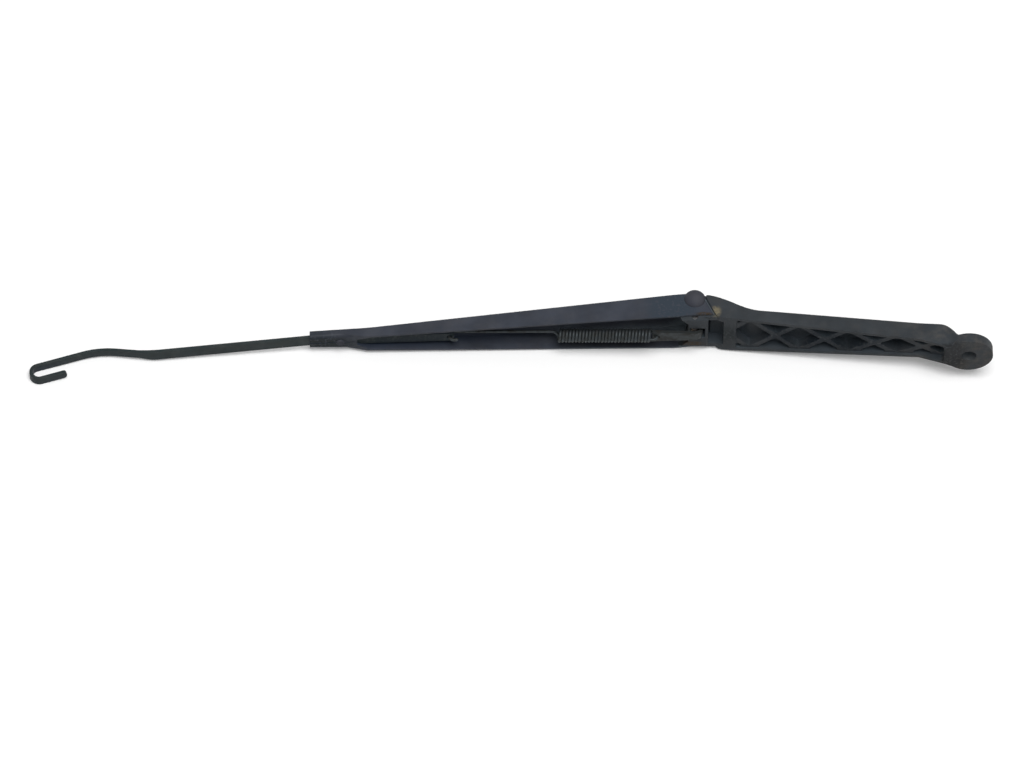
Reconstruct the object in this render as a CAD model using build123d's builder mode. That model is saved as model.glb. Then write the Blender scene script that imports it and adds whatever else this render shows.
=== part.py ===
from build123d import *
import os
from math import atan2, cos, degrees, radians, sin, tan

os.makedirs("parts", exist_ok=True)

# Windscreen wiper arm lying on its side, in millimetres.
# X runs along the arm from the blade hook to the spindle, Y points away from the windscreen and
# Z follows the hinge pin. The spindle axis is the Y axis, and the boss stands on the plane Y = 0.
# The neck and the boss are measured from the spindle, and all that follows the hinge from its axis.

# Fits between pieces
running_clearance = 0.05
press_clearance = 0.02
side_clearance = 0.3
seam_gap = 0.6

# Hinge between the mounting head and the channel
hinge_distance = 199
hinge_height = 36.8
hinge_width = 40
rivet_shank_diameter = 6
rivet_head_diameter = 15.4
rivet_head_height = 4.7
rivet_tail_diameter = 10.4
rivet_tail_height = 1
bush_outer_diameter = 8
barrel_diameter = 11.2
seam_angle = 24.6
seam_distance = 7.4
lift_angle = 50

# Mounting head: boss, neck and cranked tray
boss_diameter = 35
boss_height = 9
spindle_bore_diameter = 11
bore_chamfer = 0.8
bore_chamfer_angle = 45
boss_blend_radius = 9
taper_blend_radius = 60
neck_distance = 21.5
neck_width = 23
neck_height = 21.4
step_end_distance = 7
step_slope = 1.4
step_blend_radius = 1.5
heel_distance = 14
underside_neck_distance = 36
underside_neck_height = 6.9
underside_slope = 0.0914
shoulder_start_distance = 27
shoulder_end_distance = 49
shoulder_end_height = 28.2
shoulder_slope = 0.08
head_top_drop = 1.1
seam_foot_radius = 7
head_wall = 2.6
head_back_thickness = 2.8
head_edge_radius = 2.4
back_tilt_limit = 60
end_wall_distance = 21
end_wall_thickness = 9
tray_end_distance = 18
lip_height_margin = 1.2

# Mounting head: crossed ribs
rib_thickness = 3.8
rib_recess = 1.6
rib_bays = 5
rib_pitch = 35.7
rib_start_distance = 4.1
pocket_corner_radius = 1.8
pocket_corner_share = 0.95

# Mounting head: hinge block between the channel's ears, which carries the spring pin
block_front = 4.6
block_rear = 10
block_bottom_drop = 16.6
block_edge_radius = 1.5
block_side_chamfer = 2.5
cheek_front = 11.5
cheek_root_half = 10.6
front_pocket_width = 29
front_pocket_depth = 10
slot_roof_cover = 0.2
slot_rear = 7.6

# Spring pin and spring link
spring_pin_diameter = 5
spring_pin_drop = 13.5
link_width = 11
link_hook_width = 7
link_thickness = 2.5
link_eye_clearance = 0.22
link_length = 31
link_hook_wrap = 245
spring_hole_diameter = 3.4
spring_hole_margin = 3.6

# Tension spring
spring_wire = 2.4
spring_mean_diameter = 8
coil_turns = 28
coil_gap = 1.5
coil_groove = 0.75
hook_tuck = 0.15
spring_hook_wrap = 215

# Channel pressed from sheet
sheet = 1.5
channel_back_rise = 5.9
channel_bend_radius = 2.4
ear_corner_radius = 4
wall_edge_height = -15
wall_edge_slope = 0.0453
ear_rise = 0.9
ear_rise_start = 14
ear_rise_end = 2
ear_blend_radius = 40
parallel_length = 16
channel_front_distance = 238
shoulder_length = 9
back_blend_radius = 250
crimp_end_distance = 280
crimp_cover = 3.2
crimp_side = 2.1
crimp_fold_radius = 2.6
crimp_slit = 0.6
back_notch_length = 4.6

# Flat bar with the blade hook
rod_width = 9
rod_tip_width = 6.4
rod_shoulder_length = 10
rod_thickness = 2.4
rod_exit_height = -22.9
rod_overlap = 63
dip_distance = 394
dip_height = -36.1
crest_distance = 433
crest_height = -32.5
exit_bend_radius = 60
dip_bend_radius = 40
crest_bend_radius = 60
hook_slope = 18.3
hook_leg_length = 47
hook_bend_radius = 5.8
hook_return_length = 19
hook_turn = 180
hook_end_radius = 2.5

# Rivet that holds the bar in the crimp
rod_rivet_distance = 258
rod_rivet_diameter = 3.6
rod_rivet_head_diameter = 6.6
rod_rivet_head_height = 1.2
rod_rivet_head_taper = 30

# Places worked out from the sizes above
hinge_x = -hinge_distance
hinge_half = hinge_width / 2
channel_inner_half = hinge_half - sheet
barrel_half = channel_inner_half - side_clearance
shoulder_start_x = hinge_x + shoulder_start_distance
shoulder_end_x = hinge_x + shoulder_end_distance
end_wall_x = hinge_x + end_wall_distance
front_x = hinge_x - channel_front_distance
crimp_end_x = hinge_x - crimp_end_distance
rod_inner_x = front_x + rod_overlap
rod_exit_y = hinge_height + rod_exit_height
rod_rivet_x = hinge_x - rod_rivet_distance
dip_x = hinge_x - dip_distance
seam_cos = cos(radians(seam_angle))
seam_sin = sin(radians(seam_angle))
head_top = hinge_height + channel_back_rise - head_top_drop
head_seam = seam_distance + seam_gap
beyond = 2 * hinge_width
pin_x = hinge_x
pin_y = hinge_height - spring_pin_drop
half_lift = radians(lift_angle) / 2
pin_wander = spring_pin_drop * (1 - cos(half_lift))
eye_radius = spring_pin_diameter / 2 + link_eye_clearance + pin_wander / 2
eye_x = pin_x + sin(half_lift) * pin_wander / 2
eye_y = pin_y - cos(half_lift) * pin_wander / 2
link_mid_radius = eye_radius + link_thickness / 2
spring_y = eye_y - link_mid_radius
link_front_x = eye_x - link_length
rear_hole_x = link_front_x + spring_hole_margin
spring_radius = spring_mean_diameter / 2
hook_radius = spring_radius - hook_tuck
rod_slope = (spring_y - rod_exit_y) / (rod_inner_x - crimp_end_x)
crimp_floor = rod_thickness / 2 + running_clearance + sheet
crimp_roof = rod_thickness / 2 + running_clearance + crimp_cover
crimp_half_width = rod_width / 2 + running_clearance + crimp_side
front_hole_x = rod_inner_x - spring_hole_margin
dome_angle = 2 * degrees(atan2(rivet_head_height, rivet_head_diameter / 2))
dome_radius = rivet_head_diameter / 2 / sin(radians(dome_angle))


def seam_x(height, distance):
    """X of the slanted seam behind the hinge, at a height and a distance from the hinge axis."""
    return hinge_x + (distance - (height - hinge_height) * seam_sin) / seam_cos


def rod_line(x):
    """Height of the bar's middle plane along its straight run through the crimp."""
    return rod_exit_y + rod_slope * (x - crimp_end_x)


def head_underside(x):
    """Height of the head's open edge, which falls toward the boss."""
    return underside_neck_height - underside_slope * (x + underside_neck_distance)


def wall_edge(x):
    """Height of the channel's open edge, which falls toward the blade."""
    return hinge_height + wall_edge_height + wall_edge_slope * (x - hinge_x)


def head_back(drop):
    """Back of the head from the seam to the neck, lowered by drop."""
    start = (seam_x(head_top, head_seam), head_top - drop)
    shoulder_end = (shoulder_end_x, shoulder_end_height - drop)
    neck = (-neck_distance, neck_height - drop)
    back_direction = (-neck_distance - shoulder_end_x, neck_height - shoulder_end_height)
    shoulder = Spline(start, shoulder_end, tangents=((1, -shoulder_slope), back_direction))
    Line(shoulder @ 1, neck)
    return start, neck, back_direction


def under_back():
    """Side outline of the space under the head's back."""
    start, neck, _ = head_back(head_back_thickness)
    far_x = start[0] - beyond
    Polyline(neck, (0, neck[1]), (0, -beyond), (far_x, -beyond), (far_x, start[1]), start)


def head_half_width(x):
    """Half width of the head in plan, tapering from the shoulder to the neck."""
    share = (x - shoulder_start_x) / (-underside_neck_distance - shoulder_start_x)
    return hinge_half + min(share, 1) * (neck_width / 2 - hinge_half)


def tray_plan():
    """Plan of the ribbed tray inside the head's walls."""
    stations = (end_wall_x + end_wall_thickness, -underside_neck_distance, -tray_end_distance)
    upper = [(x, head_half_width(x) - head_wall) for x in stations]
    lower = [(x, -half) for x, half in reversed(upper)]
    Polyline(*upper, *lower, close=True)


def side_edges(faces):
    """Edges of the faces that lie off the middle plane."""
    return [edge for face in faces for edge in face.edges() if abs(edge.center().Z) > sheet]


def back_faces(faces):
    """Faces that look away from the windscreen, steep ones such as the boss's step included."""
    return [face for face in faces if face.normal_at().Y > cos(radians(back_tilt_limit))]


def corner_room(pocket):
    """Largest radius that the corners of a straight-sided pocket have room for."""
    sides = pocket.outer_wire().order_edges()
    pairs = zip(sides, sides[1:] + sides[:1])
    bends = [tan(radians((side % 1).get_angle(after % 0)) / 2) for side, after in pairs]
    return min(side.length / (bends[i - 1] + bends[i]) for i, side in enumerate(sides))


# Pockets between the crossed ribs on the underside of the head
with BuildPart() as pockets:
    with BuildSketch(Plane.XY):
        with BuildLine():
            under_back()
        make_face()
    extrude(amount=hinge_width, both=True)
    with BuildSketch(Plane.XZ) as pocket_plan:
        with BuildLine():
            tray_plan()
        make_face()
        for bay in range(rib_bays):
            bay_front = hinge_x + rib_start_distance + bay * rib_pitch
            bay_rear = bay_front + rib_pitch
            for side in (-1, 1):
                with BuildLine(mode=Mode.PRIVATE) as rib_line:
                    Line(
                        (bay_front, side * (head_half_width(bay_front) - head_wall / 2)),
                        (bay_rear, side * (head_wall / 2 - head_half_width(bay_rear))),
                    )
                trace(rib_line.line, line_width=rib_thickness, mode=Mode.SUBTRACT)
        for pocket in pocket_plan.faces():
            fillet(pocket.vertices(), min(pocket_corner_radius, pocket_corner_share * corner_room(pocket)))
    extrude(amount=beyond, both=True, mode=Mode.INTERSECT)

# Shallow recess that leaves the ribs lower than the walls round them
with BuildPart() as rib_recess_space:
    with BuildSketch(Plane.XY):
        with BuildLine():
            Polyline(
                (-hinge_distance, head_underside(-hinge_distance) + rib_recess),
                (0, head_underside(0) + rib_recess),
                (0, -beyond),
                (-hinge_distance, -beyond),
                close=True,
            )
        make_face()
    extrude(amount=hinge_width, both=True)
    with BuildSketch(Plane.XZ) as recess_plan:
        with BuildLine():
            tray_plan()
        make_face()
        fillet(recess_plan.vertices(), pocket_corner_radius)
    extrude(amount=beyond, both=True, mode=Mode.INTERSECT)

# Pocket between the hinge block and the end wall of the tray
with BuildPart() as front_pocket:
    with BuildSketch(Plane.XY):
        pocket_front = hinge_x + block_rear
        pocket_rear = end_wall_x
        with BuildLine():
            Polyline(
                (pocket_front, head_underside(pocket_front) + front_pocket_depth),
                (pocket_rear, head_underside(pocket_rear) + front_pocket_depth),
                (pocket_rear, -beyond),
                (pocket_front, -beyond),
                close=True,
            )
        make_face()
    extrude(amount=front_pocket_width / 2, both=True)

# Hinge block between the channel's ears, with cheeks that reach forward along them
block_bottom = hinge_height - block_bottom_drop
lip_top = head_top - lip_height_margin
block_front_x = hinge_x - block_front
block_rear_x = hinge_x + block_rear
cheek_x = hinge_x - cheek_front
with BuildPart() as hinge_block:
    with BuildSketch(Plane.XY) as block_side:
        with BuildLine():
            Polyline(
                (hinge_x, lip_top),
                (block_front_x, hinge_height),
                (cheek_x, pin_y),
                (cheek_x, block_bottom),
                (block_rear_x, block_bottom),
                (block_rear_x, lip_top),
                close=True,
            )
        make_face()
        block_feet = block_side.vertices().group_by(Axis.Y)[0]
        fillet(block_feet, block_edge_radius)
    extrude(amount=barrel_half, both=True)
    with BuildSketch(Plane.XZ):
        with BuildLine():
            Polyline(
                (block_rear_x, -barrel_half),
                (cheek_x, -barrel_half),
                (block_front_x, -cheek_root_half),
                (block_front_x, cheek_root_half),
                (cheek_x, barrel_half),
                (block_rear_x, barrel_half),
                close=True,
            )
        make_face()
    extrude(amount=beyond, both=True, mode=Mode.INTERSECT)
    with BuildSketch(Plane.ZY):
        with BuildLine():
            Polyline(
                (-barrel_half, lip_top),
                (-barrel_half, block_bottom + block_side_chamfer),
                (block_side_chamfer - barrel_half, block_bottom),
                (barrel_half - block_side_chamfer, block_bottom),
                (barrel_half, block_bottom + block_side_chamfer),
                (barrel_half, lip_top),
                close=True,
            )
        make_face()
    extrude(amount=hinge_distance + hinge_width, both=True, mode=Mode.INTERSECT)

# Mounting head, a casting with an open, ribbed underside
with BuildPart() as head:
    with BuildSketch(Plane.XY) as head_side:
        with BuildLine():
            start, neck, back_direction = head_back(0)
            step_end = (-step_end_distance, boss_height)
            step = Spline(neck, step_end, tangents=(back_direction, (1, -step_slope)))
            seam_foot_y = head_underside(seam_x(wall_edge(hinge_x), head_seam))
            Polyline(
                step @ 1,
                (boss_diameter, boss_height),
                (boss_diameter, 0),
                (-heel_distance, 0),
                (-underside_neck_distance, underside_neck_height),
                (seam_x(seam_foot_y, head_seam), seam_foot_y),
                start,
            )
        make_face()
        step_foot = head_side.vertices().sort_by_distance(step_end)[0]
        fillet(step_foot, step_blend_radius)
        seam_foot = head_side.vertices().sort_by_distance((seam_x(seam_foot_y, head_seam), seam_foot_y))[0]
        fillet(seam_foot, seam_foot_radius)
    extrude(amount=hinge_width, both=True)
    with BuildSketch(Plane.XZ) as head_plan:
        with BuildLine():
            Polyline(
                (hinge_x - hinge_width, -hinge_half),
                (shoulder_start_x, -hinge_half),
                (-underside_neck_distance, -neck_width / 2),
                (0, -neck_width / 2),
                (0, neck_width / 2),
                (-underside_neck_distance, neck_width / 2),
                (shoulder_start_x, hinge_half),
                (hinge_x - hinge_width, hinge_half),
                close=True,
            )
        make_face()
        Circle(boss_diameter / 2)
        waist = [v for v in head_plan.vertices() if -neck_distance < v.X < 0]
        fillet(waist, boss_blend_radius)
        taper_ends = [v for v in head_plan.vertices() if abs(v.X + underside_neck_distance) < sheet]
        fillet(taper_ends, taper_blend_radius)
    extrude(amount=beyond, both=True, mode=Mode.INTERSECT)
    fillet(side_edges(back_faces(head.faces())), head_edge_radius)
    add(pockets.part, mode=Mode.SUBTRACT)
    add(rib_recess_space.part, mode=Mode.SUBTRACT)
    add(front_pocket.part, mode=Mode.SUBTRACT)
    # Hinge block and barrel between the channel's ears
    add(hinge_block.part)
    with BuildSketch(Plane.XY):
        with Locations((hinge_x, hinge_height)):
            Circle(barrel_diameter / 2)
    extrude(amount=barrel_half, both=True)
    # Lips that join the block to the walls, lapped by the channel's ears
    lip_bottom = seam_foot_y + lip_height_margin
    for side in (-1, 1):
        with BuildSketch(Plane.XY.offset(side * front_pocket_width / 2)):
            with BuildLine():
                Polyline(
                    (hinge_x, lip_top),
                    (block_rear_x - head_wall, lip_bottom),
                    (seam_x(lip_bottom, head_seam) + head_wall, lip_bottom),
                    (seam_x(lip_top, head_seam) + head_wall, lip_top),
                    close=True,
                )
            make_face()
        extrude(amount=side * (barrel_half - front_pocket_width / 2))
    # Slot in the block for the spring link
    slot_roof = hinge_height - barrel_diameter / 2 - slot_roof_cover
    with BuildSketch(Plane.XY):
        with BuildLine():
            Polyline(
                (hinge_x - beyond, -beyond),
                (hinge_x + slot_rear, -beyond),
                (hinge_x + slot_rear, slot_roof),
                (hinge_x - beyond, slot_roof),
                close=True,
            )
        make_face()
    extrude(amount=link_width / 2 + side_clearance, both=True, mode=Mode.SUBTRACT)
    # Holes for the hinge bush, the spring pin and the spindle
    with BuildSketch(Plane.XY):
        with Locations((hinge_x, hinge_height)):
            Circle(bush_outer_diameter / 2 + press_clearance)
        with Locations((pin_x, pin_y)):
            Circle(spring_pin_diameter / 2 + press_clearance)
    extrude(amount=hinge_width, both=True, mode=Mode.SUBTRACT)
    with BuildSketch(Plane.XZ):
        Circle(spindle_bore_diameter / 2)
    extrude(amount=beyond, both=True, mode=Mode.SUBTRACT)
    with BuildSketch(Plane.XZ.offset(-boss_height)):
        Circle(spindle_bore_diameter / 2 + bore_chamfer)
    extrude(amount=bore_chamfer, taper=bore_chamfer_angle, mode=Mode.SUBTRACT)
head.part.label = "head"
export_step(head.part, "parts/head.step")

with BuildPart() as hinge_bush:
    with BuildSketch(Plane.XY):
        with Locations((hinge_x, hinge_height)):
            Circle(bush_outer_diameter / 2)
            Circle(rivet_shank_diameter / 2 + running_clearance, mode=Mode.SUBTRACT)
    extrude(amount=barrel_half, both=True)
hinge_bush.part.label = "hinge_bush"
export_step(hinge_bush.part, "parts/hinge_bush.step")

with BuildPart() as spring_pin:
    with BuildSketch(Plane.XY):
        with Locations((pin_x, pin_y)):
            Circle(spring_pin_diameter / 2)
    extrude(amount=barrel_half - block_side_chamfer, both=True)
spring_pin.part.label = "spring_pin"
export_step(spring_pin.part, "parts/spring_pin.step")

# Bar with the blade hook: straight through the crimp, a shallow joggle, then the U bend
with BuildLine() as rod_path:
    leg_drop = tan(radians(hook_slope))
    leg_start = (hinge_x - crest_distance, hinge_height + crest_height)
    leg_reach = hook_leg_length * cos(radians(hook_slope))
    run = FilletPolyline(
        (rod_inner_x, spring_y),
        (crimp_end_x, rod_exit_y),
        (dip_x, hinge_height + dip_height),
        leg_start,
        (leg_start[0] - leg_reach, leg_start[1] - leg_reach * leg_drop),
        radius=[exit_bend_radius, dip_bend_radius, crest_bend_radius],
    )
    bend = JernArc(run @ 1, run % 1, hook_bend_radius, hook_turn)
    Line(bend @ 1, bend @ 1 + hook_return_length * (bend % 1))

rod_direction = rod_path.line % 0
rod_across = Vector(rod_direction.Y, -rod_direction.X, 0)
rivet_spot = Vector(rod_rivet_x, rod_line(rod_rivet_x), 0)
rod_rivet_plane = Plane(origin=rivet_spot, x_dir=(0, 0, 1), z_dir=rod_across)
front_hole_spot = Vector(front_hole_x, rod_line(front_hole_x), 0)
front_hole_plane = Plane(origin=front_hole_spot, x_dir=(0, 0, 1), z_dir=rod_across)
crimp_spot = Vector(crimp_end_x, rod_exit_y, 0)
crimp_plane = Plane(origin=crimp_spot, x_dir=(0, 0, 1), z_dir=rod_direction)

with BuildPart() as rod:
    with BuildSketch(Plane(origin=rod_path.line @ 0, x_dir=(0, 0, 1), z_dir=rod_direction)):
        Rectangle(rod_width, rod_thickness)
    sweep(path=rod_path.line)
    with BuildSketch(Plane.XZ):
        with BuildLine():
            Polyline(
                (rod_inner_x + rod_overlap, -rod_width / 2),
                (dip_x, -rod_width / 2),
                (dip_x - rod_shoulder_length, -rod_tip_width / 2),
                (leg_start[0] - beyond, -rod_tip_width / 2),
                (leg_start[0] - beyond, rod_tip_width / 2),
                (dip_x - rod_shoulder_length, rod_tip_width / 2),
                (dip_x, rod_width / 2),
                (rod_inner_x + rod_overlap, rod_width / 2),
                close=True,
            )
        make_face()
    extrude(amount=beyond, both=True, mode=Mode.INTERSECT)
    tip = rod.faces().sort_by_distance(rod_path.line @ 1)[0]
    fillet(side_edges([tip]), hook_end_radius)
    with BuildSketch(rod_rivet_plane):
        Circle(rod_rivet_diameter / 2 + press_clearance)
    extrude(amount=rod_thickness, both=True, mode=Mode.SUBTRACT)
    with BuildSketch(front_hole_plane):
        Circle(spring_hole_diameter / 2)
    extrude(amount=rod_thickness, both=True, mode=Mode.SUBTRACT)
rod.part.label = "rod"
export_step(rod.part, "parts/rod.step")

# Channel, folded from sheet: open toward the windscreen, closed round the bar at its front end,
# with its back cut away over the hinge barrel
crimp_rear_x = front_x - shoulder_length
crimp_back = rod_line(front_x) + crimp_roof
back_slope = (hinge_height + channel_back_rise - crimp_back) / (hinge_x - front_x)


def channel_back(x):
    """Height of the channel's back between the crimp and the hinge."""
    return hinge_height + channel_back_rise + back_slope * (x - hinge_x)


def channel_plan(inset, *front_points):
    """Plan of the channel, inset from its parallel walls and then led through the front points."""
    half = hinge_half - inset
    upper = [(hinge_x + hinge_width, half), (hinge_x - parallel_length, half), *front_points]
    return upper + [(x, -z) for x, z in reversed(upper)]


crimp_corner = (crimp_end_x, crimp_half_width)
taper = (hinge_half - crimp_half_width) / (crimp_end_distance - parallel_length)
front_half = crimp_half_width + taper * (crimp_end_distance - channel_front_distance)
hollow_corner = (front_x + sheet, front_half - sheet)
hollow_end = (crimp_rear_x + sheet, rod_width / 2 - sheet)

with BuildPart() as channel_hollow:
    with BuildSketch(Plane.XY):
        with BuildLine():
            rear_x = hinge_x + hinge_width
            notch_x = hinge_x - back_notch_length
            Polyline(
                (rear_x, beyond),
                (notch_x, beyond),
                (notch_x, channel_back(notch_x) - sheet),
                (crimp_rear_x, channel_back(crimp_rear_x) - sheet),
                (crimp_rear_x, -beyond),
                (rear_x, -beyond),
                close=True,
            )
        make_face()
    extrude(amount=hinge_width, both=True)
    with BuildSketch(Plane.XZ):
        with BuildLine():
            Polyline(*channel_plan(sheet, hollow_corner, hollow_end), close=True)
        make_face()
    extrude(amount=beyond, both=True, mode=Mode.INTERSECT)

with BuildPart() as channel:
    with BuildSketch(Plane.XY) as channel_side:
        with BuildLine():
            ear_top = channel_back(hinge_x + seam_distance)
            rise_start = (hinge_x - ear_rise_start, wall_edge(hinge_x - ear_rise_start))
            rise_end = (hinge_x - ear_rise_end, wall_edge(hinge_x - ear_rise_end) + ear_rise)
            ear_foot = wall_edge(hinge_x + seam_distance) + ear_rise
            Polyline(
                (seam_x(ear_top, seam_distance), ear_top),
                (front_x, crimp_back),
                (crimp_end_x, rod_exit_y + crimp_roof),
                (crimp_end_x, rod_exit_y - crimp_floor),
                (crimp_rear_x, rod_line(crimp_rear_x) - crimp_floor),
                (front_x, wall_edge(front_x)),
                rise_start,
                rise_end,
                (seam_x(ear_foot, seam_distance), ear_foot),
                close=True,
            )
        make_face()
        ear_corner = channel_side.vertices().sort_by(Axis.Y)[-1]
        fillet(ear_corner, ear_corner_radius)
        back_bend = channel_side.vertices().sort_by_distance((front_x, crimp_back))[0]
        fillet(back_bend, back_blend_radius)
        ear_bends = [channel_side.vertices().sort_by_distance(spot)[0] for spot in (rise_start, rise_end)]
        fillet(ear_bends, ear_blend_radius)
    extrude(amount=hinge_width, both=True)
    with BuildSketch(Plane.XZ):
        with BuildLine():
            Polyline(*channel_plan(0, crimp_corner), close=True)
        make_face()
    extrude(amount=beyond, both=True, mode=Mode.INTERSECT)
    fillet(side_edges(back_faces(channel.faces())), channel_bend_radius)
    fold_face = channel.faces().sort_by_distance((crimp_end_x + shoulder_length, -beyond, 0))[0]
    fillet(side_edges([fold_face]), crimp_fold_radius)
    add(channel_hollow.part, mode=Mode.SUBTRACT)
    # Passage for the bar, and the slit where the folded flanges meet under it
    with BuildSketch(crimp_plane):
        Rectangle(rod_width + 2 * running_clearance, rod_thickness + 2 * running_clearance)
    extrude(amount=rod_inner_x - crimp_end_x, both=True, mode=Mode.SUBTRACT)
    with BuildSketch(Plane.XY.offset(-crimp_slit / 2)):
        with BuildLine():
            Polyline(
                (crimp_end_x - sheet, rod_line(crimp_end_x - sheet)),
                (front_x, rod_line(front_x)),
                (front_x, -beyond),
                (crimp_end_x - sheet, -beyond),
                close=True,
            )
        make_face()
    extrude(amount=crimp_slit, mode=Mode.SUBTRACT)
    with BuildSketch(Plane.XY):
        with Locations((hinge_x, hinge_height)):
            Circle(rivet_shank_diameter / 2 + press_clearance)
    extrude(amount=hinge_width, both=True, mode=Mode.SUBTRACT)
    with BuildSketch(rod_rivet_plane):
        Circle(rod_rivet_diameter / 2 + press_clearance)
    extrude(amount=hinge_width, both=True, mode=Mode.SUBTRACT)
channel.part.label = "channel"
export_step(channel.part, "parts/channel.step")

with BuildPart() as hinge_rivet:
    with BuildSketch(Plane(origin=(hinge_x, hinge_height, 0), x_dir=(1, 0, 0), z_dir=(0, -1, 0))):
        with BuildLine():
            dome = JernArc((0, hinge_half + rivet_head_height), (1, 0), dome_radius, -dome_angle)
            Polyline(
                dome @ 0,
                (0, -hinge_half - rivet_tail_height),
                (rivet_tail_diameter / 2, -hinge_half - rivet_tail_height),
                (rivet_tail_diameter / 2, -hinge_half),
                (rivet_shank_diameter / 2, -hinge_half),
                (rivet_shank_diameter / 2, hinge_half),
                dome @ 1,
            )
        make_face()
    revolve(axis=Axis((hinge_x, hinge_height, 0), (0, 0, 1)))
hinge_rivet.part.label = "hinge_rivet"
export_step(hinge_rivet.part, "parts/hinge_rivet.step")

with BuildPart() as rod_rivet:
    for seat, side in ((crimp_roof, 1), (-crimp_floor, -1)):
        with BuildSketch(rod_rivet_plane.offset(seat)):
            Circle(rod_rivet_head_diameter / 2)
        extrude(amount=side * rod_rivet_head_height, taper=rod_rivet_head_taper)
        with BuildSketch(rod_rivet_plane):
            Circle(rod_rivet_diameter / 2)
        extrude(amount=seat)
rod_rivet.part.label = "rod_rivet"
export_step(rod_rivet.part, "parts/rod_rivet.step")

# Link from the spring to the pin: a flat strip bent into a hook round the pin
with BuildPart() as spring_link:
    with BuildSketch(Plane.XY):
        with BuildLine(mode=Mode.PRIVATE) as link_line:
            strip = Line((link_front_x, spring_y), (eye_x, spring_y))
            JernArc(strip @ 1, strip % 1, link_mid_radius, link_hook_wrap)
        trace(link_line.line, line_width=link_thickness)
    extrude(amount=link_width / 2, both=True)
    link_rear_x = eye_x + link_mid_radius + link_thickness
    with BuildSketch(Plane.XZ):
        with BuildLine():
            Polyline(
                (link_front_x, -link_width / 2),
                (link_rear_x, -link_hook_width / 2),
                (link_rear_x, link_hook_width / 2),
                (link_front_x, link_width / 2),
                close=True,
            )
        make_face()
    extrude(amount=beyond, both=True, mode=Mode.INTERSECT)
    with BuildSketch(Plane.XZ.offset(-spring_y)):
        with Locations((rear_hole_x, 0)):
            Circle(spring_hole_diameter / 2)
    extrude(amount=link_thickness, both=True, mode=Mode.SUBTRACT)
spring_link.part.label = "spring_link"
export_step(spring_link.part, "parts/spring_link.step")

# Tension spring: close coils drawn as stacked rings, with a round hook at each end
rear_hook_x = rear_hole_x - hook_radius
front_hook_x = front_hole_x + hook_radius
coil_rear_x = link_front_x - coil_gap
coil_front_x = coil_rear_x - coil_turns * spring_wire
crest_radius = spring_radius + spring_wire / 2
groove_radius = crest_radius - coil_groove
bore_radius = hook_radius - spring_wire / 2 - hook_tuck

with BuildPart() as spring:
    with BuildSketch(Plane.XY):
        with BuildLine():
            crests = [(coil_rear_x, spring_y + groove_radius)]
            for turn in range(coil_turns):
                turn_x = coil_rear_x - turn * spring_wire
                crests.append((turn_x - spring_wire / 2, spring_y + crest_radius))
                crests.append((turn_x - spring_wire, spring_y + groove_radius))
            Polyline(
                *crests,
                (coil_front_x, spring_y + bore_radius),
                (coil_rear_x, spring_y + bore_radius),
                close=True,
            )
        make_face()
    revolve(axis=Axis((0, spring_y, 0), (1, 0, 0)))
    for hook_x, coil_x, side in ((rear_hook_x, coil_rear_x, 1), (front_hook_x, coil_front_x, -1)):
        with BuildLine() as hook_path:
            root = (coil_x - side * spring_wire, spring_y + hook_radius)
            shank = Line(root, (hook_x, spring_y + hook_radius))
            JernArc(shank @ 1, shank % 1, hook_radius, -side * spring_hook_wrap)
        with BuildSketch(Plane(origin=hook_path.line @ 0, z_dir=hook_path.line % 0)):
            Circle(spring_wire / 2)
        sweep(path=hook_path.line)
spring.part.label = "spring"
export_step(spring.part, "parts/spring.step")
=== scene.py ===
"""Wiper arm: finishes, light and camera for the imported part, on a white table as in the photo."""

import math

import bpy
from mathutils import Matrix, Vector


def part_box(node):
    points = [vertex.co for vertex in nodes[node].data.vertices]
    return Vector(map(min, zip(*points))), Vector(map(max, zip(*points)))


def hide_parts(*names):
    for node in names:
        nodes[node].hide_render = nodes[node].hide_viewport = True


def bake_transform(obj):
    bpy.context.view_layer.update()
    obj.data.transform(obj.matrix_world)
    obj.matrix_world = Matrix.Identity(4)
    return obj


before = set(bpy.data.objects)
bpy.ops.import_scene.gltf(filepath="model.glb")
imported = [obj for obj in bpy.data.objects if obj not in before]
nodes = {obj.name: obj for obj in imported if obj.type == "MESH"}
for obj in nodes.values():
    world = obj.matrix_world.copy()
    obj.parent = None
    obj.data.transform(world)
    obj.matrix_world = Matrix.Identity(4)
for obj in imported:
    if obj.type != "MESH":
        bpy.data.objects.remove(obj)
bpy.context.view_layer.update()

# Camera: the photo looks at the arm's underside from 55 degrees above it, 1.38 pixels to a millimetre
camera_elevation = math.radians(55)
camera_distance = 6.0
camera_target = Vector((-0.3319, -0.0249, 0.0))
pixels_per_metre = 1380
image_width = 1024
sensor_width = 36

# Table: it touches the hinge rivet's tail and the lower edge of the blade hook
table_touch_rear = Vector((-0.199, 0.0, -0.0211))
table_touch_front = Vector((-0.68, 0.0, -0.0034))
table_size = 8.0
table_grey = 0.42
table_white = 0.95
table_lift = 0.1
table_roughness = 0.7
table_specular = 0.1
table_noise = (3,)
table_mottle = 0.01

# Light: an even white room and one wide overhead lamp
white = (1, 1, 1, 1)
room_strength = 0.32
lamp_strength = 2.3
lamp_spread = math.radians(40)
lamp_tilt = (math.radians(13), math.radians(8), 0)

# Tension spring: wound wire in place of the solid's plain rings, with a little play between the turns
wire_diameter = 0.0024
wire_play = 0.00003
wire_sides = 10
coil_turns = 28
steps_per_turn = 24
coil_gap = 0.0015
hole_margin = 0.0036
hook_tuck = 0.00015
hook_wrap = math.radians(215)
hook_steps = 24
lead_angle = math.radians(55)
lead_pull = 0.004
lead_steps = 10

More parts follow.
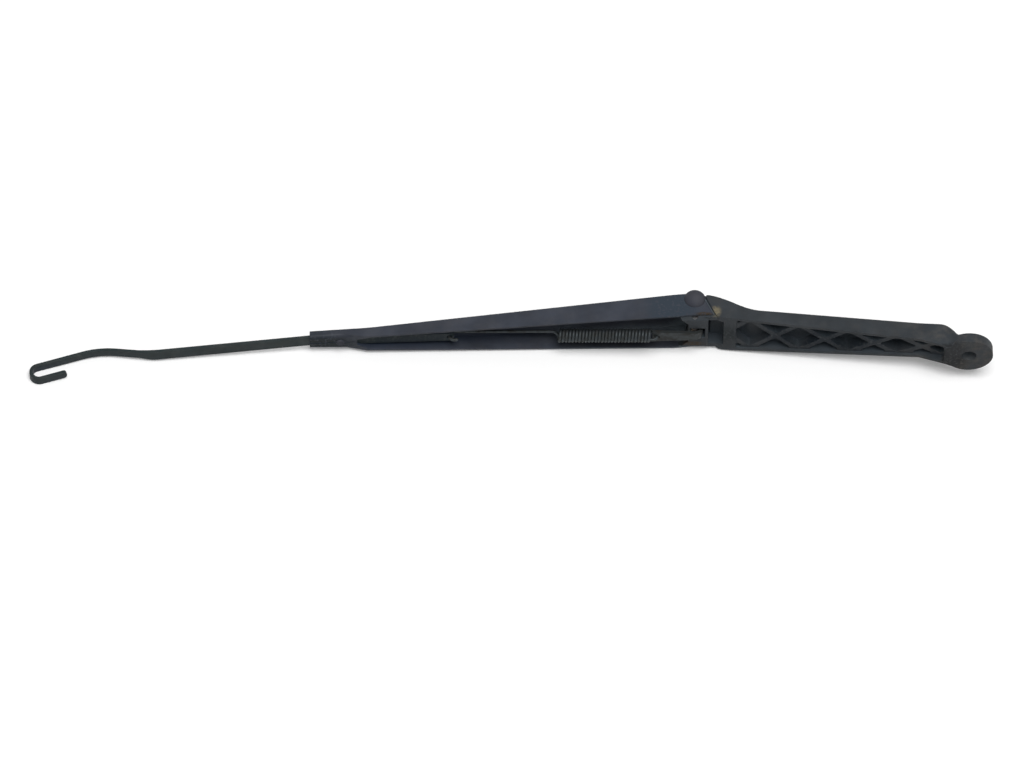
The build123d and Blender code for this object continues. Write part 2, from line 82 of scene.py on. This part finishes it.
# Paint: a noise is its scale, detail and roughness, and a band is where a share rises from 0 to 1
# Recess mask: ambient occlusion finds the hollows, where painted light takes the place of the paint
recess_reach = 0.014
recess_samples = 8
recess_band = (0.1, 0.8)
paint_specular = 0.12
paint_edge_radius = 0.0005
edge_samples = 6
edge_band = (0.02, 0.3)
mottle_noise = (45, 5)
mottle_band = (0.3, 0.7)
mottle_depth = 0.72
scuff_noise = (160, 6, 0.7)
scuff_band = (0.5, 0.72)
dust_noise = (70, 6, 0.65)
dust_band = (0.38, 0.75)
dust_roughness = 0.3
matt_noise = (110, 4)
matt_band = (0.2, 0.8)
matt_roughness = 0.14
speckle_noise = (900, 3)
speckle_height = 0.0002
mark_noise = (500, 4)
mark_band = (0.32, 0.5)
spot_band = (0.35, 1.0)

# Dust and the painted light in recesses: a span is a stretch along the arm
even_dust_noise = (25,)
boss_dust_span = (-0.06, -0.005)
boss_dust_gain = 0.55
head_dust_least = 0.12
recess_light_noise = (90,)
recess_light_depth = 0.8
# Painted light in the channel's recesses, from the bar end to the hinge end
hinge_recess_light_span = (-0.34, -0.255)
bar_end_recess_light = (0.033, 0.050, 0.083, 1)
hinge_end_recess_light = (0.25, 0.30, 0.33, 1)
rust = (0.046, 0.034, 0.024, 1)
bare_metal = (0.16, 0.14, 0.095, 1)
grey_wear = (0.13, 0.135, 0.14, 1)
warm_dust = (0.13, 0.115, 0.1, 1)

# Marks: colour, centre and reach along each axis
seam_spot = (bare_metal, (-0.1838, 0.0255, 0.0200), (0.0050, 0.0065, 0.004))
seam_rust = (rust, (-0.1925, 0.0234, 0.0200), (0.009, 0.0022, 0.004))
edge_rust = (rust, (-0.2005, 0.0208, -0.0130), (0.012, 0.005, 0.0040))
# Darker patch on the underside of the channel's closed front end
front_dark_patch = ((0.0080, 0.0130, 0.0150, 1), (-0.470, 0.0125, -0.0020), (0.034, 0.03, 0.0122))
# Painted shade on the head's ribs and pockets
rib_shade = ((0.0105, 0.0150, 0.0205, 1), (-0.105, 0.0165, 0.0), (0.09, 0.014, 0.016))
# Painted shade on the tray's end wall by the hinge
end_wall_shade = ((0.0130, 0.0180, 0.0205, 1), (-0.178, 0.0125, 0.0), (0.018, 0.022, 0.0165))
# Darker patch on the boss face
boss_dark_patch = ((0.0205, 0.0220, 0.0240, 1), (-0.014, 0.0, 0.0), (0.019, 0.005, 0.026))
hinge_shade = ((0.0370, 0.0490, 0.0650, 1), (-0.216, 0.0300, 0.0200), (0.026, 0.03, 0.010))
# Painted shade on the bar where it runs inside the channel
inner_bar_shade = ((0.0120, 0.0185, 0.0240, 1), (-0.405, 0.0140, 0.0), (0.05, 0.02, 0.02))

# Bare steel
patch_noise = (220, 5, 0.6)
patch_band = (0.4, 0.7)
patch_roughness = 0.25
patch_strength = 0.1
patch_height = 0.0001
steel_metallic = 0.75
steel_edge_radius = 0.0003


def add(tree, kind, inputs=None, **settings):
    """Add a shader node. An input is a constant or another node's output socket."""
    made = tree.nodes.new("ShaderNode" + kind)
    for name, value in settings.items():
        setattr(made, name, value)
    for key, value in (inputs or {}).items():
        if isinstance(value, bpy.types.NodeSocket):
            tree.links.new(value, made.inputs[key])
        else:
            made.inputs[key].default_value = value
    return made


def math_node(tree, operation, *values, clamp=False):
    """Output socket of a Math node."""
    return add(tree, "Math", dict(enumerate(values)), operation=operation, use_clamp=clamp).outputs[0]


def mixed(tree, share, first, second):
    """Output socket of a colour that goes from first to second as share goes from 0 to 1."""
    return add(tree, "Mix", {0: share, 6: first, 7: second}, data_type="RGBA").outputs[2]


def ramp(tree, value, low, high):
    """Output socket that rises smoothly from 0 at low to 1 at high."""
    settings = {"Value": value, "From Min": low, "From Max": high}
    return add(tree, "MapRange", settings, interpolation_type="SMOOTHSTEP").outputs[0]


def noise(tree, place, scale, detail=4, roughness=0.55):
    """Output socket of a noise over the object, about 0 to 1."""
    settings = {"Vector": place, "Scale": scale, "Detail": detail, "Roughness": roughness}
    return add(tree, "TexNoise", settings).outputs[0]


def spot(tree, place, centre, reach):
    """Output socket that falls from 1 at a point of the object to 0 at a reach, given for each axis."""
    away = add(tree, "VectorMath", {0: place, 1: centre}, operation="SUBTRACT").outputs[0]
    scaled = add(tree, "VectorMath", {0: away, 1: reach}, operation="DIVIDE").outputs[0]
    length = add(tree, "VectorMath", {0: scaled}, operation="LENGTH").outputs["Value"]
    return math_node(tree, "SUBTRACT", 1.0, ramp(tree, length, *spot_band), clamp=True)


def darker(colour, depth):
    """A colour scaled down, and still opaque."""
    return [depth * part for part in colour[:3]] + [1]


def new_material(name):
    """A node material, its tree, its surface shader and the object's own coordinates."""
    material = bpy.data.materials.new(name)
    material.use_nodes = True
    tree = material.node_tree
    place = add(tree, "TexCoord").outputs["Object"]
    return material, tree, tree.nodes["Principled BSDF"], place


def edge_share(tree, radius):
    """Rounded normal near edges, and how much an edge there turns the surface."""
    rounded = add(tree, "Bevel", {"Radius": radius}, samples=edge_samples).outputs[0]
    flat = add(tree, "NewGeometry").outputs["Normal"]
    dot = add(tree, "VectorMath", {0: rounded, 1: flat}, operation="DOT_PRODUCT").outputs["Value"]
    return rounded, math_node(tree, "SUBTRACT", 1.0, dot, clamp=True)


def painted(name, colour, recess_light, dust_share, roughness, grain, marks=()):
    """Dull dark coat: mottled, a little dusty, rubbed at its edges, with marks on it, some of them painted
    shade; in its recesses a set colour, painted light, takes the place of the paint.
    """
    material, tree, shader, place = new_material(name)
    recess = add(tree, "AmbientOcclusion", {"Distance": recess_reach}, samples=recess_samples)
    openness = ramp(tree, recess.outputs["AO"], *recess_band)
    rounded, edge = edge_share(tree, paint_edge_radius)
    mottle = ramp(tree, noise(tree, place, *mottle_noise), *mottle_band)
    paint = mixed(tree, mottle, colour, darker(colour, mottle_depth))
    scuffs = ramp(tree, noise(tree, place, *scuff_noise), *scuff_band)
    rubbed = math_node(tree, "MULTIPLY", ramp(tree, edge, *edge_band), scuffs)
    paint = mixed(tree, rubbed, paint, grey_wear)
    dust = ramp(tree, noise(tree, place, *dust_noise), *dust_band)
    dust = math_node(tree, "MULTIPLY", dust, dust_share(tree, place))
    paint = mixed(tree, dust, paint, warm_dust)
    # Marks: real wear and rust, darker patches, and patches of painted shade
    for mark_colour, mark_centre, mark_reach in marks:
        share = spot(tree, place, mark_centre, mark_reach)
        broken = ramp(tree, noise(tree, place, *mark_noise), *mark_band)
        paint = mixed(tree, math_node(tree, "MULTIPLY", share, broken), paint, mark_colour)
    # Painted light: in the hollows the recess colour replaces the paint
    paint = mixed(tree, openness, recess_light(tree, place), paint)
    tree.links.new(paint, shader.inputs["Base Color"])
    matt = ramp(tree, noise(tree, place, *matt_noise), *matt_band)
    rough = math_node(tree, "MULTIPLY_ADD", matt, matt_roughness, roughness)
    rough = math_node(tree, "MULTIPLY_ADD", dust, dust_roughness, rough, clamp=True)
    tree.links.new(rough, shader.inputs["Roughness"])
    shader.inputs["Specular IOR Level"].default_value = paint_specular
    speckle = noise(tree, place, *speckle_noise)
    relief = {"Height": speckle, "Normal": rounded, "Strength": grain, "Distance": speckle_height}
    tree.links.new(add(tree, "Bump", relief).outputs[0], shader.inputs["Normal"])
    return material


def bare_steel(name, colour, stain, roughness):
    """Dull uncoated steel with a stain in patches."""
    material, tree, shader, place = new_material(name)
    patches = ramp(tree, noise(tree, place, *patch_noise), *patch_band)
    tree.links.new(mixed(tree, patches, colour, stain), shader.inputs["Base Color"])
    rough = math_node(tree, "MULTIPLY_ADD", patches, patch_roughness, roughness)
    tree.links.new(rough, shader.inputs["Roughness"])
    shader.inputs["Metallic"].default_value = steel_metallic
    rounded, _ = edge_share(tree, steel_edge_radius)
    relief = {"Height": patches, "Normal": rounded, "Strength": patch_strength, "Distance": patch_height}
    tree.links.new(add(tree, "Bump", relief).outputs[0], shader.inputs["Normal"])
    return material


def even_dust(share):
    """Dust spread alike over the whole piece."""

    def build(tree, place):
        return math_node(tree, "MULTIPLY", noise(tree, place, *even_dust_noise), share)

    return build


def dust_toward_boss(tree, place):
    """Dust that thickens along the head from the hinge to the boss."""
    along = add(tree, "SeparateXYZ", {0: place}).outputs["X"]
    return math_node(
        tree, "MULTIPLY_ADD", ramp(tree, along, *boss_dust_span), boss_dust_gain, head_dust_least
    )


def even_recess_light(colour):
    """Painted light of one colour in the recesses, a little uneven."""

    def build(tree, place):
        return mixed(tree, noise(tree, place, *recess_light_noise), colour, darker(colour, recess_light_depth))

    return build


def recess_light_toward_hinge(tree, place):
    """Painted light in the channel's recesses, pale at the hinge and darker toward the bar."""
    along = add(tree, "SeparateXYZ", {0: place}).outputs["X"]
    return mixed(tree, ramp(tree, along, *hinge_recess_light_span), bar_end_recess_light, hinge_end_recess_light)


# Finishes, with painted light in the recesses and patches of painted shade
# Painted light: recess colours for the head, its rivets and bush, and the bar, lighter than their paint
head_recess_light = even_recess_light((0.078, 0.097, 0.115, 1))
bar_recess_light = even_recess_light((0.045, 0.062, 0.080, 1))
head_paint = painted(
    "head_paint",
    (0.0451, 0.0516, 0.0586, 1),
    head_recess_light,
    dust_toward_boss,
    roughness=0.42,
    grain=0.35,
    marks=(seam_spot, edge_rust, rib_shade, end_wall_shade, boss_dark_patch),
)
channel_paint = painted(
    "channel_paint",
    (0.0525, 0.0592, 0.0767, 1),
    recess_light_toward_hinge,
    even_dust(0.2),
    roughness=0.36,
    grain=0.22,
    marks=(seam_rust, front_dark_patch, hinge_shade),
)
bar_paint = painted(
    "bar_paint",
    (0.0315, 0.0425, 0.0448, 1),
    bar_recess_light,
    even_dust(0.3),
    roughness=0.4,
    grain=0.2,
    marks=(inner_bar_shade,),
)
rivet_paint = painted(
    "rivet_paint", (0.0519, 0.0552, 0.0698, 1), head_recess_light, even_dust(0.3), roughness=0.55, grain=0.2
)
bush_plastic = painted(
    "bush_plastic", (0.05, 0.05, 0.05, 1), head_recess_light, even_dust(0.2), roughness=0.5, grain=0.1
)
pin_steel = bare_steel("pin_steel", (0.3, 0.3, 0.31, 1), (0.2, 0.15, 0.1, 1), roughness=0.35)
link_steel = bare_steel("link_steel", (0.034, 0.040, 0.042, 1), (0.033, 0.033, 0.031, 1), roughness=0.5)
spring_steel = bare_steel("spring_steel", (0.058, 0.068, 0.074, 1), (0.05, 0.052, 0.05, 1), roughness=0.55)
finishes = {
    "head": head_paint,
    "hinge_bush": bush_plastic,
    "spring_pin": pin_steel,
    "channel": channel_paint,
    "rod": bar_paint,
    "hinge_rivet": rivet_paint,
    "rod_rivet": rivet_paint,
    "spring": spring_steel,
    "spring_link": link_steel,
}
for node, material in finishes.items():
    nodes[node].data.materials.clear()
    nodes[node].data.materials.append(material)


def wire_path():
    """Middle line of the spring's wire, from rear hook to front hook, and the two ends of its coil."""
    low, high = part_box("spring")
    centre_y = (low.y + high.y) / 2
    link_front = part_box("spring_link")[0].x
    rod_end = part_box("rod")[1].x
    radius = high.z - wire_diameter / 2
    hook_radius = radius - hook_tuck
    rear_x = link_front - coil_gap
    front_x = rear_x - coil_turns * wire_diameter
    rear_hook_x = link_front + hole_margin - hook_radius
    front_hook_x = rod_end - hole_margin + hook_radius

    def hook(hook_x, side):
        angles = [hook_wrap * step / hook_steps for step in range(hook_steps + 1)]
        return [
            Vector((hook_x + side * hook_radius * math.sin(a), centre_y + hook_radius * math.cos(a), 0))
            for a in angles
        ]

    def coil_point(angle):
        x = rear_x - wire_diameter * angle / (2 * math.pi)
        return Vector((x, centre_y + radius * math.cos(angle), radius * math.sin(angle)))

    def lead(first, first_pull, last, last_pull):
        points = []
        for step in range(1, lead_steps):
            t = step / lead_steps
            points.append(
                (1 + 2 * t) * (1 - t) ** 2 * first
                + t * (1 - t) ** 2 * first_pull
                + t * t * (3 - 2 * t) * last
                + t * t * (t - 1) * last_pull
            )
        return points

    full_turn = 2 * math.pi * coil_turns
    steps = coil_turns * steps_per_turn
    inner = full_turn - 2 * lead_angle
    coil = [coil_point(lead_angle + inner * step / steps) for step in range(steps + 1)]
    rear_hook = hook(rear_hook_x, 1)
    front_hook = hook(front_hook_x, -1)
    leg_start = Vector((front_x - lead_pull, centre_y + hook_radius, 0))
    rear_pull = lead_pull * (coil[1] - coil[0]).normalized()
    front_pull = lead_pull * (coil[-1] - coil[-2]).normalized()
    toward_front = Vector((-lead_pull, 0, 0))
    path = list(reversed(rear_hook))
    path += lead(rear_hook[0], toward_front, coil[0], rear_pull)
    path += coil
    path += lead(coil[-1], front_pull, leg_start, toward_front)
    return path + [leg_start] + front_hook, Vector((front_x, centre_y, 0)), Vector((rear_x, centre_y, 0))


def tube(name, path, radius, sides):
    """Closed round tube along a path, with its section carried along without twist."""
    vertices = []
    across = Vector((0, 0, 1))
    for index, point in enumerate(path):
        ahead = path[min(index + 1, len(path) - 1)]
        behind = path[max(index - 1, 0)]
        direction = (ahead - behind).normalized()
        across = (across - across.dot(direction) * direction).normalized()
        other = direction.cross(across)
        for side in range(sides):
            turn = 2 * math.pi * side / sides
            vertices.append(point + radius * (math.cos(turn) * across + math.sin(turn) * other))
    faces = []
    for ring in range(len(path) - 1):
        here = ring * sides
        ahead = here + sides
        for side in range(sides):
            next_side = (side + 1) % sides
            faces.append((here + side, here + next_side, ahead + next_side, ahead + side))
    faces.append(tuple(reversed(range(sides))))
    faces.append(tuple(range(len(vertices) - sides, len(vertices))))
    mesh = bpy.data.meshes.new(name)
    mesh.from_pydata(vertices, [], faces)
    for face in mesh.polygons:
        face.use_smooth = True
    piece = bpy.data.objects.new(name, mesh)
    bpy.context.scene.collection.objects.link(piece)
    return piece


spring_path, coil_front, coil_rear = wire_path()
wound_spring = tube("wound_spring", spring_path, wire_diameter / 2 - wire_play, wire_sides)
wound_spring.data.materials.append(spring_steel)
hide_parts("spring")
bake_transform(wound_spring)

# Table: grey to diffuse light, white where the camera or a reflection sees it
table_rise = math.atan2(
    table_touch_front.z - table_touch_rear.z, table_touch_rear.x - table_touch_front.x
)
bpy.ops.mesh.primitive_plane_add(size=table_size, location=table_touch_rear, rotation=(0, table_rise, 0))
table = bpy.context.object
table.name = "table"
table_material, tree, shader, place = new_material("table_white")
shader.inputs["Roughness"].default_value = table_roughness
shader.inputs["Specular IOR Level"].default_value = table_specular
rays = add(tree, "LightPath").outputs
seen = math_node(tree, "MAXIMUM", rays["Is Camera Ray"], rays["Is Glossy Ray"])
seen = math_node(tree, "MAXIMUM", seen, rays["Is Transmission Ray"])
level = math_node(tree, "MULTIPLY_ADD", seen, table_white - table_grey, table_grey)
level = math_node(tree, "MULTIPLY_ADD", noise(tree, place, *table_noise), table_mottle, level)
tone = add(tree, "CombineColor", {0: level, 1: level, 2: level}).outputs[0]
tree.links.new(tone, shader.inputs["Base Color"])
glow = add(tree, "Emission", {"Strength": math_node(tree, "MULTIPLY", seen, table_lift)})
both = add(tree, "AddShader", {0: shader.outputs[0], 1: glow.outputs[0]})
tree.links.new(both.outputs[0], tree.nodes["Material Output"].inputs["Surface"])
table.data.materials.append(table_material)

# Room and lamp
world = bpy.data.worlds.new("room")
world.use_nodes = True
world.node_tree.nodes["Background"].inputs["Color"].default_value = white
world.node_tree.nodes["Background"].inputs["Strength"].default_value = room_strength
bpy.context.scene.world = world

lamp_data = bpy.data.lights.new("overhead", "SUN")
lamp_data.energy = lamp_strength
lamp_data.angle = lamp_spread
lamp = bpy.data.objects.new("overhead", lamp_data)
lamp.rotation_euler = lamp_tilt
bpy.context.scene.collection.objects.link(lamp)

# Camera
camera_data = bpy.data.cameras.new("camera")
camera_data.sensor_fit = "HORIZONTAL"
camera_data.sensor_width = sensor_width
camera_data.lens = pixels_per_metre * camera_distance * sensor_width / image_width
camera = bpy.data.objects.new("camera", camera_data)
camera_direction = Vector((0, -math.cos(camera_elevation), math.sin(camera_elevation)))
camera.location = camera_target + camera_distance * camera_direction
camera.rotation_euler = (math.pi / 2 - camera_elevation, 0, 0)
bpy.context.scene.collection.objects.link(camera)
bpy.context.scene.camera = camera
bpy.context.scene.view_settings.view_transform = "Standard"
